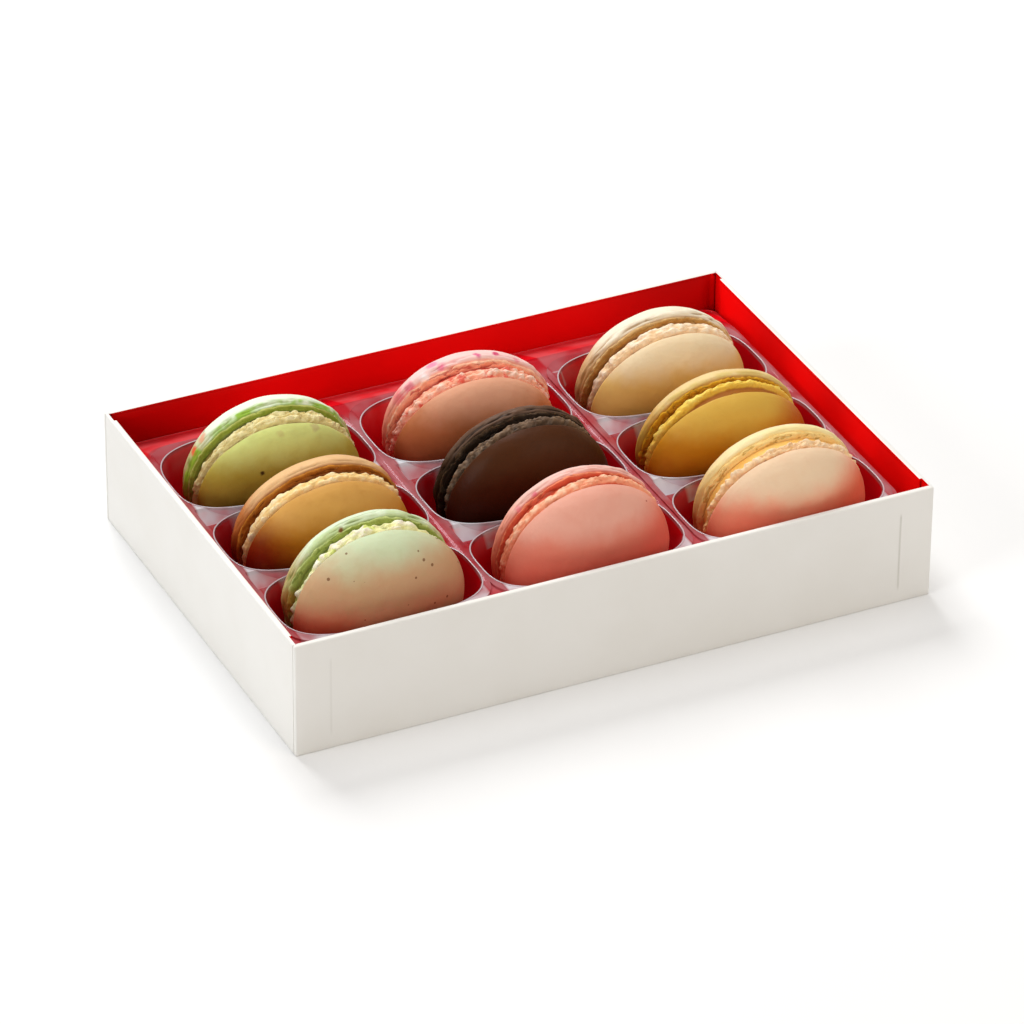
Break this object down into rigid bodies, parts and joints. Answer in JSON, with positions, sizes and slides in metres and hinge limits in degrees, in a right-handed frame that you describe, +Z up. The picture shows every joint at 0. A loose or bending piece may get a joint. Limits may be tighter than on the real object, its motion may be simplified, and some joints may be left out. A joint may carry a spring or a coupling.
{
  "type": "open gift box of macarons",
  "caption": "Open white paperboard gift box with a red lining and a clear thermoformed tray of round wells, filled with assorted macarons standing on edge.",
  "frame": {"origin": "centre of the box's base, on the surface it stands on", "axes": "+X along the long side, to the right as seen from the front; -Y is the front wall; +Z up"},
  "size_m": [0.18, 0.124, 0.0494],
  "materials": {
    "white_paperboard": "smooth coated white board",
    "red_lining": "satin red coated board",
    "clear_film": "clear thermoformed film",
    "pistachio_shell": "baked almond biscuit, satin",
    "pistachio_filling": "set cream, rough",
    "caramel_shell": "baked almond biscuit, satin",
    "caramel_filling": "set cream, rough",
    "mint_shell": "baked almond biscuit, satin",
    "mint_filling": "set cream, rough",
    "strawberry_shell": "baked almond biscuit, satin",
    "strawberry_filling": "set cream, rough",
    "chocolate_shell": "baked almond biscuit, satin",
    "chocolate_filling": "set ganache, rough",
    "raspberry_shell": "baked almond biscuit, satin",
    "raspberry_filling": "set cream, rough",
    "vanilla_shell": "baked almond biscuit, satin",
    "vanilla_filling": "set cream, rough",
    "lemon_shell": "baked almond biscuit, satin",
    "lemon_filling": "set cream, rough",
    "apricot_shell": "baked almond biscuit, satin",
    "apricot_filling": "set cream, rough"
  },
  "bodies": {
    "root": {"white_paperboard_box": "white_paperboard", "red_lining_floor": "red_lining", "red_lining_back": "red_lining", "red_lining_front": "red_lining", "red_lining_left": "red_lining", "red_lining_right": "red_lining", "clear_tray": "clear_film", "pistachio_macaron_back_shell": "pistachio_shell", "pistachio_macaron_filling": "pistachio_filling", "pistachio_macaron_front_shell": "pistachio_shell", "caramel_macaron_back_shell": "caramel_shell", "caramel_macaron_filling": "caramel_filling", "caramel_macaron_front_shell": "caramel_shell", "mint_macaron_back_shell": "mint_shell", "mint_macaron_filling": "mint_filling", "mint_macaron_front_shell": "mint_shell", "strawberry_macaron_back_shell": "strawberry_shell", "strawberry_macaron_filling": "strawberry_filling", "strawberry_macaron_front_shell": "strawberry_shell", "chocolate_macaron_back_shell": "chocolate_shell", "chocolate_macaron_filling": "chocolate_filling", "chocolate_macaron_front_shell": "chocolate_shell", "raspberry_macaron_back_shell": "raspberry_shell", "raspberry_macaron_filling": "raspberry_filling", "raspberry_macaron_front_shell": "raspberry_shell", "vanilla_macaron_back_shell": "vanilla_shell", "vanilla_macaron_filling": "vanilla_filling", "vanilla_macaron_front_shell": "vanilla_shell", "lemon_macaron_back_shell": "lemon_shell", "lemon_macaron_filling": "lemon_filling", "lemon_macaron_front_shell": "lemon_shell", "apricot_macaron_back_shell": "apricot_shell", "apricot_macaron_filling": "apricot_filling", "apricot_macaron_front_shell": "apricot_shell"}
  },
  "joints": []
}
